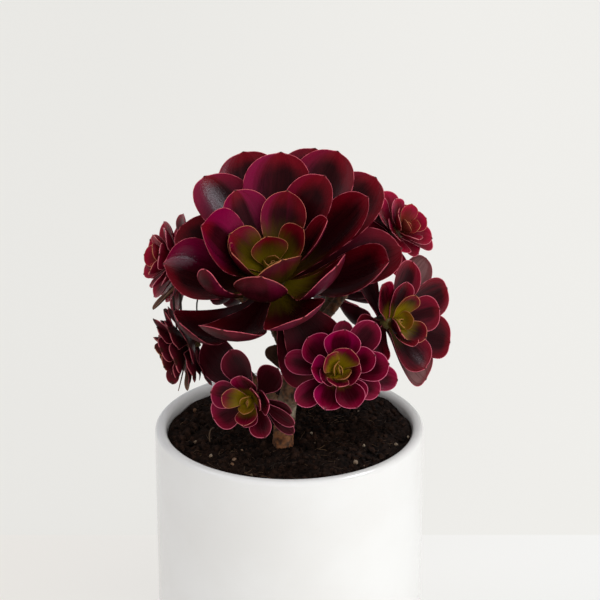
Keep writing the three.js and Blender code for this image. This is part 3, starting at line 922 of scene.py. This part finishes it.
# %% Leaves with a row of their own
LISTED_LEAVES = {
    "main": [
        (20, 80, 25, 7, 7), (157, 78, 30, 8, 8), (295, 74, 35, 9, 10), (72, 66, 35, 10, 10),
        (215, 60, 40, 10, 11), (112, 58, 30, 21, 22, -4), (292, 22, 103, 31, 33, 15),
        (160, 40, 15, 31, 26, -9), (32, 52, 15, 30, 25, -7), (200, 35, 45, 34, 25, 5),
        (76, 44, 15, 44, 26.5, 2), (257, 0, 125, 43, 31, 5), (120, 39, 5, 47.5, 30, 4),
        (15, 47, 22, 45, 22, -12), (177, 41, 22, 50, 43, -6), (54, 45, 0, 58, 31, -6),
        (325, 14, 76, 54, 38), (86, 42, -12, 66, 39, -5), (215, 5, 95, 58, 14, 32),
        (287, 6, 62, 62, 37, 14), (126, 33, -12, 65, 37, 5), (28, 28, 22, 65, 32, -5),
        (352, 5, 50, 64, 41, -5), (180, 8, 25, 55, 44, -5), (62, 33, -10, 78, 37, 8),
        (103, 30, -12, 75, 38, -8), (45, 25, -8, 78, 36, 12), (242, -18, 98, 61, 38, 12),
        (73, 29, -8, 79, 37), (143, 13, -5, 58, 36, -5), (20, 6, 0, 68, 36, 15),
        (205, -55, 138, 65, 36, 10), (312, -20, -35, 45, 34, 20), (298, -50, -5, 50, 26),
        (92, 12, -22, 64, 36), (125, 4, -18, 60, 36), (50, 2, -22, 62, 36), (152, -14, -10, 52, 34),
        (75, -12, -25, 58, 34), (35, -14, -20, 56, 34), (108, -24, -20, 44, 32),
    ],
    "front_right": [
        (140, 50, 20, 17, 14), (62, 48, 20, 18, 16), (255, 48, 25, 17, 13), (348, 45, 20, 16, 17),
        (176, 32, 20, 18.5, 16), (80, 30, 18, 24, 21), (18, 28, 12, 22, 15), (290, 22, 15, 23, 17),
        (246, 20, 15, 23, 18), (306, 12, 5, 19, 15), (4, 14, 5, 26, 17), (207, 45, 25, 16, 12),
        (48, 12, 0, 31, 17), (214, 12, 0, 26, 14), (330, 5, 0, 23, 14), (130, 18, 10, 23, 19),
        (351, -6, -8, 32, 15), (161, 6, -5, 26, 14), (76, 2, -5, 26, 12),
    ],
    "right": [
        (60, 42, 15, 20, 15), (305, 40, 15, 20, 15), (200, 46, 30, 18, 14), (262, 40, 25, 20, 15),
        (70, 26, 15, 23.5, 17), (358, 24, 10, 29, 21), (118, 24, 12, 29, 18), (286, 14, 20, 31, 26),
        (48, 10, 0, 35, 21), (6, 6, 0, 47, 23), (330, 6, 0, 46, 26), (215, 12, 10, 24, 18),
        (299, 3, -5, 42, 27), (175, 4, 10, 24, 18), (19, -12, 0, 62, 18, -25), (240, -8, 0, 32, 18),
        (94, -10, 0, 31, 16),
    ],
    "front_left": [
        (165, 42, 15, 17, 13), (280, 42, 20, 16, 14), (30, 45, 15, 18, 14), (95, 38, 10, 20, 16),
        (175, 20, 10, 22, 17), (213, 12, 5, 24, 19), (268, 28, 15, 15, 13), (299, 14, 5, 20, 15),
        (14, 45, 5, 22, 15), (124, 2, 5, 27, 19), (337, 4, -5, 24, 8.5), (56, 8, 0, 21, 17),
        (150, -14, 10, 42, 26), (322, -4, -5, 25, 9), (350, 8, 0, 20, 8),
    ],
    "upper_right": [
        (60, 44, 18, 15, 13), (350, 42, 20, 15, 13), (140, 40, 20, 16, 14), (250, 40, 22, 15, 13),
        (95, 30, 15, 18, 16), (30, 26, 12, 15, 16), (310, 26, 15, 18, 15), (175, 28, 15, 19, 15),
        (215, 20, 10, 18, 15), (128, 22, 10, 24, 18), (86, 14, 5, 22.5, 20), (5, 14, 5, 20, 20),
        (335, 6, 0, 24, 21), (292, 8, 5, 15, 15), (112, 10, 0, 28, 21), (150, 6, 0, 26, 18),
        (50, 2, -5, 22, 17), (240, -4, 0, 22, 16),
    ],
}

# %% Buds and leaves that follow the spiral
# The size of a bud in mm, and where it starts.
BUDS = {"front_right": (12, 20), "right": (12, 80), "front_left": (11, 0), "upper_right": (11, 40),
        "upper_left": (11, 10), "left": (11, 60), "back_right": (11, 0), "back_left": (11, 90)}
# Count, start, first and last rise, first and last length, and width.
SPIRALS = {
    "upper_left": (21, 58, (56, -2), (13, 26.5), 24), "left": (21, 70, (56, -4), (12, 22.8), 23.8),
    "back_right": (15, 20, (52, -4), (13, 25), 19), "back_left": (17, 77, (52, -4), (13, 26), 19),
}
SPIRAL_CURLS, SPIRAL_POWERS = (21.6, 10.8), (0.85, 1, 0.75, 0.7)
BUD_LEAVES, HEART_LEAVES, YOUNG_LEAVES = 3, 6, 15
FIRST_RING = 0.5


def spiral(count, start, rise, curl, length, width, powers=(1, 1, 1, 1)):
    """Leaves a golden angle apart. Each measure goes from its first number to its last, by a power."""
    rows = []
    for k in range(count):
        share = (k + 1) / count
        measures = zip((rise, curl, length, width), powers)
        measures = [first + (last - first) * share ** power for (first, last), power in measures]
        rows.append((start + GOLDEN_DEGREES * k, *measures, 0))
    return rows


def heart_rows(row):
    """Tiny leaves that close the bud inside its first leaf: too small to have a part in the solids."""
    size = max(row[3], 6)
    return spiral(HEART_LEAVES, row[0] + 200, (88, 78), (34, 34), (0.3 * size, 0.9 * size),
                  (0.285 * size, 0.855 * size))


leaf_rows = {name: [(*row, 0)[:6] for row in rows] for name, rows in LISTED_LEAVES.items()}
for name, (count, start, rises, lengths, width) in SPIRALS.items():
    widths = (0.42 * width, width)
    leaf_rows[name] = spiral(count, start, rises, SPIRAL_CURLS, lengths, widths, SPIRAL_POWERS)
for name, (size, start) in BUDS.items():
    bud = spiral(BUD_LEAVES, start, (82, 52), (30, 30), (0.45 * size, size), (0.5 * size, 0.95 * size))
    leaf_rows[name] = bud + leaf_rows[name]
print("leaves:", {name: len(rows) for name, rows in leaf_rows.items()})


# %% Grow a leaf
def character_of(luck, waviness):
    return {"lopsided": luck.uniform(-0.05, 0.05), "waves": luck.uniform(7, 12),
            "wave": luck.uniform(0.3, 1.0) * waviness, "phases": [luck.uniform(0, 6.3) for _ in range(3)]}


def grow_leaf(blank, paint, row, kind, cup, luck, waviness, ring=0, drop=0, **facts):
    """A copy of the blank in its place, in mm, with what its colours need kept on its points."""
    leaf = copy_piece(blank, "leaf")
    flat = get_points(blank)
    set_points(leaf, leaf_points(flat, row, drop, ring, kind, cup, character_of(luck, waviness)))
    u, s, lens_height = flat.T
    length, width = row[3:5]
    off_midrib = np.abs(u) * half_outline(s, kind["widest"]) * width / 2
    facts.update(across=u, along=s, skin=np.sign(lens_height), length_mm=length, tone=luck.random(),
                 margin_mm=margin_distance(u, s, kind, length, width),
                 tip_mm=np.hypot(off_midrib, (1 - s) * length))
    for label, values in facts.items():
        keep_on_mesh(leaf, label, values)
    leaf.data.materials.append(paint)
    return leaf


# %% The core of a rosette
def turned_core(profile):
    """The short fleshy stem inside a rosette, drawn out ring by ring."""
    deselect()
    bpy.ops.mesh.primitive_circle_add(vertices=20, radius=profile[0][0], fill_type="NGON",
                                      location=(0, 0, profile[0][1]))
    core = newest("core")
    bpy.ops.object.transform_apply(location=True)
    edit()
    for (radius, z), (next_radius, next_z) in zip(profile, profile[1:]):
        bpy.ops.mesh.extrude_region_move(TRANSFORM_OT_translate={"value": (0, 0, next_z - z)})
        grow = next_radius / radius
        bpy.ops.transform.resize(value=(grow, grow, 1), center_override=(0, 0, next_z))
    bpy.ops.mesh.select_all(action="SELECT")
    bpy.ops.mesh.normals_make_consistent(inside=False)
    leave()
    bpy.ops.object.shade_smooth()
    core.data.materials.append(neck_skin)
    return core


# %% Grow a rosette
# The side that the light comes from. Blades are painted magenta where they face it, a painted light.
PAINTED_LIGHT_SIDE = Vector((0.7, -0.7, -0.25))
FADED = {("right", 15): 0.85, ("right", 17): 1.0, ("upper_left", 12): 0.4, ("left", 19): 0.5}


def head_matrix(centre, heading, elevation):
    axis = head_axis(heading, elevation)
    right = Vector((0, 0, 1)).cross(axis).normalized()
    far = axis.cross(right)
    turn = Matrix((right, far, axis)).transposed().to_4x4()
    return Matrix.Translation(Vector(centre)) @ turn


def grow_rosette(name, kind_name, blank, seed, waviness):
    """All the leaves of one rosette from its heart outward, on its core, turned to its place."""
    luck = random.Random(seed)
    kind, rows = KINDS[kind_name], leaf_rows[name]
    pieces = []
    for k, row in [(0, row) for row in heart_rows(rows[0])] + list(enumerate(rows)):
        style = KINDS["bud"] if k < BUD_LEAVES else kind
        cup = style["cup"][0 if k < YOUNG_LEAVES else 1]
        ring = FIRST_RING + kind["root_ring"] * min(1, k / YOUNG_LEAVES)
        drop = kind["step"] * max(0, k - BUD_LEAVES)
        pieces.append(grow_leaf(blank, leaf_paints[name], row, style, cup, luck, waviness, ring, drop,
                                age=k / (len(rows) - 1), faded=FADED.get((name, k), 0)))
    rosette = join_pieces(pieces + [turned_core(core_of(name))], f"leaves_{name}")
    rosette.data.transform(Matrix.Scale(MM, 4) @ head_matrix(*HEADS[name]))
    rosette.data.update()
    # How squarely each point faces the light, where the blades are painted a lit magenta: -1 to 1.
    keep_on_mesh(rosette, "lit", get_points(rosette, "normal") @ np.array(PAINTED_LIGHT_SIDE.normalized()))
    report(rosette)
    return rosette


# %% [markdown]
# The leaf's colours follow the light it has had. The heart is shaded and olive green, most of all at the
# foot of each leaf. Blades turn almost black in the middle and crimson towards the rim. Where they face
# the window they are painted magenta, a painted light. A fine pink line of hairs follows the margin, and
# the under side is duller. Painting them would need a map for every leaf, so one group works it out from
# the facts kept on the leaves, and each kind of rosette has values of its own.

# %% The leaf-colour group
FACTS = ("across", "along", "skin", "length_mm", "margin_mm", "tip_mm", "tone", "age", "lit", "faded")
# The magenta where a blade faces the light is a painted light.
LEAF_VALUES = {
    "Green": linear(96, 82, 6), "Dark": linear(34, 3, 6), "Crimson": linear(108, 3, 20),
    "Flush": linear(126, 2, 58), "Under": linear(66, 10, 24), "Margin": linear(214, 98, 112),
    "Green amount": 1, "Green reach": 0, "Rim mm": 10, "Flush amount": 0.9, "Dull amount": 0.3,
    "Line mm": 0.34, "Dry tip mm": 0.5}
leaf_group, given, result = new_group(
    "leaf_colours",
    {"Place": None, **{fact.capitalize().replace("_", " "): 0 for fact in FACTS}, **LEAF_VALUES},
    {"Colour": "Color", "Roughness": "Float", "Height": "Float"})
times, plus, minus = (partial(math_node, leaf_group, kind) for kind in ("MULTIPLY", "ADD", "SUBTRACT"))
mixed, soft = partial(mix_colours, leaf_group), partial(ramp, leaf_group)

across, along, age, length = (given[label] for label in ("Across", "Along", "Age", "Length mm"))
stretched = {0: times(across, 3.2), 1: times(along, 0.9), 2: times(given["Tone"], 37)}
streak = noise(leaf_group, made(leaf_group, "CombineXYZ", stretched)[0], 1, 5, 0.62)
cloudy = noise(leaf_group, given["Place"], 95, 3)
fine = noise(leaf_group, given["Place"], 1200, 2)
uneven = minus(streak, 0.5)

# %% Olive green from the foot up, further on the youngest leaves and not at all on the oldest
youngest = soft(age, 0.1, 0.37, 1, 0)
green_start = plus(0.08, times(youngest, 0.16))
green_stop = plus(0.48, times(youngest, plus(0.54, given["Green reach"])))
green = soft(plus(along, times(uneven, 0.4)), green_start, green_stop, 1, 0)
green = times(green, soft(age, 0.37, 0.62, 1, 0))
green = math_node(leaf_group, "MAXIMUM", green, soft(length, 9, 15, 0.85, 0))
green = times(green, given["Green amount"])

# %% Almost black in the middle and at the foot, crimson towards the rim and the tip
rim_place = math_node(leaf_group, "DIVIDE", given["Margin mm"], given["Rim mm"])
rim_place = plus(rim_place, times(minus(cloudy, 0.5), 0.9))
outer = soft(along, 0.3, 0.95, 0.12, 1)
rim_share = times(soft(rim_place, 0, 1, 0.95, 0), outer)
rim_share = plus(rim_share, times(soft(streak, 0.4, 0.7), times(outer, 0.14)))
base = mixed(rim_share, given["Dark"], given["Crimson"])

# %% Painted light: magenta where the blade faces the light, with a dark streak left along its middle
off_middle = math_node(leaf_group, "ABSOLUTE", plus(across, times(minus(given["Tone"], 0.5), 0.5)))
off_middle = plus(off_middle, times(uneven, 1.1))
painted_light = times(soft(given["Lit"], 0.25, 0.7), given["Flush amount"])
for limit in (soft(off_middle, 0.15, 0.75, 0.05, 1), soft(along, 0.2, 0.75),
              soft(age, 0.5, 0.68, 1, 0.25), soft(youngest, 0, 1, 1, 0.35)):
    painted_light = times(painted_light, limit)
base = mixed(painted_light, base, given["Flush"])
base = mixed(times(soft(age, 0.6, 0.85), given["Dull amount"]), base, linear(40, 9, 13))

# %% The under side, then the green, and the blades that have faded
under_mix = mixed(soft(cloudy, 0.35, 0.65), given["Under"], given["Dark"])
base = mixed(soft(given["Skin"], 0.2, -0.2, 0, 0.7), base, under_mix)
base = mixed(green, base, given["Green"])
faded = times(given["Faded"], soft(streak, 0.3, 0.7, 0.55, 1))
base = mixed(times(faded, soft(rim_place, 0.1, 0.8, 0.35, 1)), base, linear(124, 84, 84))

# %% The pink line of the margin, finer on small leaves, and the dark dry point of the tip
line_width = times(given["Line mm"], soft(length, 5, 22, 0.15, 1))
line = soft(given["Margin mm"], times(line_width, 0.6), times(line_width, 1.5), 1, 0)
line = times(times(line, soft(along, 0.02, 0.12)), soft(age, 0.6, 1, 1, 0.55))
base = mixed(line, base, mixed(times(youngest, 0.75), given["Margin"], linear(180, 128, 58)))
dry_tip = times(given["Dry tip mm"], soft(length, 10, 20, 0.05, 1))
dry_share = soft(given["Tip mm"], dry_tip, times(dry_tip, 2), 0.85, 0)
rough = plus(soft(streak, 0.3, 0.7, 0.22, 0.38), soft(given["Skin"], 0.2, -0.2, 0, 0.2))
for label, value in (("Colour", mixed(dry_share, base, linear(52, 26, 20))),
                     ("Roughness", plus(rough, times(line, 0.3))),
                     ("Height", plus(times(streak, 0.8), times(fine, 0.3)))):
    leaf_group.links.new(value, result[label])


# %% The leaves' own materials
def leaf_material(name, **values):
    """Leaves in colours of their own, 0 to 255. What isn't given stays as on the large rosette."""
    material, tree, shader, place = new_material(name)
    values = {label: linear(*value) if isinstance(value, tuple) else value
              for label, value in values.items()}
    facts = {fact.capitalize(): kept(tree, fact) for fact in FACTS}
    look = use_group(tree, leaf_group, Place=place, **facts, **values)
    dress(tree, shader, look["Colour"], look["Roughness"], look["Height"], 0.22 * MM, 0.08)
    return material


# Each rosette's magenta where its blades face the light is a painted light.
dark_leaf = leaf_material("dark_leaf")
rose_leaf = leaf_material(
    "rose_leaf", Green=(136, 116, 12), Dark=(48, 2, 13), Crimson=(118, 1, 40), Flush=(142, 0, 66),
    Margin=(222, 108, 138), Rim_mm=6.5, Flush_amount=0.85, Green_reach=-0.05, Dull_amount=0)
front_leaf = leaf_material(
    "front_leaf", Green=(128, 108, 12), Dark=(46, 3, 12), Crimson=(106, 3, 32), Flush=(124, 2, 52),
    Margin=(210, 104, 126), Rim_mm=6, Flush_amount=0.7, Green_reach=0.05, Dull_amount=0.75)
red_leaf = leaf_material(
    "red_leaf", Green=(128, 108, 12), Dark=(31, 1, 5), Crimson=(104, 0, 17), Flush=(118, 0, 36),
    Margin=(210, 100, 118), Rim_mm=5.5, Flush_amount=0.55, Green_reach=-0.05)
wine_leaf = leaf_material(
    "wine_leaf", Dark=(98, 8, 24), Crimson=(156, 10, 46), Flush=(162, 10, 68), Margin=(230, 128, 142),
    Rim_mm=7, Flush_amount=0.8, Green_amount=0.2)
old_leaf = leaf_material(
    "old_leaf", Dark=(42, 8, 10), Crimson=(104, 14, 30), Flush=(120, 16, 48), Margin=(190, 96, 104),
    Rim_mm=6, Flush_amount=0.6, Green_amount=0.35, Dry_tip_mm=1.6)
dry_leaf = leaf_material(
    "dry_leaf", Dark=(62, 40, 30), Crimson=(112, 76, 58), Flush=(130, 98, 76), Under=(90, 62, 48),
    Margin=(146, 112, 88), Rim_mm=4, Green_amount=0, Dull_amount=0)
leaf_paints = {"main": dark_leaf, "front_right": rose_leaf, "front_left": front_leaf, "right": red_leaf,
               "upper_right": wine_leaf, "upper_left": wine_leaf, "left": old_leaf,
               "back_right": red_leaf, "back_left": red_leaf}
neck_skin = rough_material("green_neck", (96, 84, 28), (58, 22, 22), 160, 0.6, (500, 3), 0.3 * MM)
print("leaf materials:", len(set(leaf_paints.values())) + 1)

# %% All the rosettes
WAVINESS = {"main": 0.011, "front_right": 0.03, "right": 0.03, "front_left": 0.035, "upper_left": 0.035,
            "left": 0.06}
USUAL_WAVINESS = 0.02
rosettes = {}
for k, name in enumerate(HEADS):
    kind, blank, seed = ("small", small_blank, 200 + k) if k else ("large", large_blank, 101)
    rosettes[name] = grow_rosette(name, kind, blank, seed, WAVINESS.get(name, USUAL_WAVINESS))
bpy.data.objects.remove(large_blank)

# %% [markdown]
# Old leaves dry on the plant before they fall. A few hang on the left and at the trunk, with the bare
# stalks of others: the same blank again, placed by its foot in mm and strongly waved. They have no part
# in the solids, as they are thin and fall off at a touch.

# %% Leaves about to fall
HANGING = [
    (dry_leaf, (-62, 6, 223), (222, -30, 0, 19, 6, 20)),
    (dry_leaf, (-54, -12, 188), (246, -76, 0, 18.5, 5.5, 30)),
    (dry_leaf, (-2, -24, 185), (205, 58, 25, 18, 14, 75)),
    (old_leaf, (-62, -9, 194), (215, 72, 0, 24, 11, -30)),
    (old_leaf, (-63, -10, 193), (190, 58, 0, 21, 10, 20)),
    (old_leaf, (-60, -12, 190), (225, -70, 0, 17, 9, -20)),
]
STALKS = [
    ([(-44, 16, 224), (-52, 2, 220), (-51.5, -3, 213), (-49, -6, 205)], 0.5),
    ([(-60, 12, 226), (-60, 0, 218), (-59, -3, 208), (-58, -7, 199)], 0.7),
    ([(-64, 12, 226), (-64, 0, 219), (-62.5, -3, 208), (-61, -7, 199)], 0.6),
    ([(-57, -11, 186), (-58.5, -12, 178), (-61, -13, 168.5)], 0.45),
]
HANGING_CUP, HANGING_WAVINESS = 60, 0.09

luck = random.Random(57)
hanging_parts = []
for paint, foot, row in HANGING:
    leaf = grow_leaf(small_blank, paint, row, KINDS["small"], HANGING_CUP, luck, HANGING_WAVINESS,
                     age=0.8, faded=0, lit=0.4)
    leaf.data.transform(Matrix.Scale(MM, 4) @ Matrix.Translation(Vector(foot)))
    hanging_parts.append(leaf)
for points, radius in STALKS:
    stalk = tube("bare_stalk", points, [radius] * (len(points) - 1) + [radius * 0.5], 1)
    stalk.data.materials.append(root_paint)
    hanging_parts.append(stalk)
hanging = join_pieces(hanging_parts, "hanging_leaves")
shade_smooth(hanging, 60)
bpy.data.objects.remove(small_blank)
report(hanging)

# %% [markdown]
# Every piece rides on the one body, and the solids that the pieces stand for are hidden. Both boxes are
# kept, so that the size can be compared with the solids.

# %% Hand over
for piece, node, slot in ((pot, "pot", "pot"), (soil, "soil", "soil"), (stem, "stem", "stem")):
    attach(piece, "root")
    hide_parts(node)
for piece in (crumbs, grit, rootlets):
    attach(piece, "root")
for name, piece in rosettes.items():
    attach(piece, "root")
    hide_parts(f"rosette_{name}")

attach(hanging, "root")
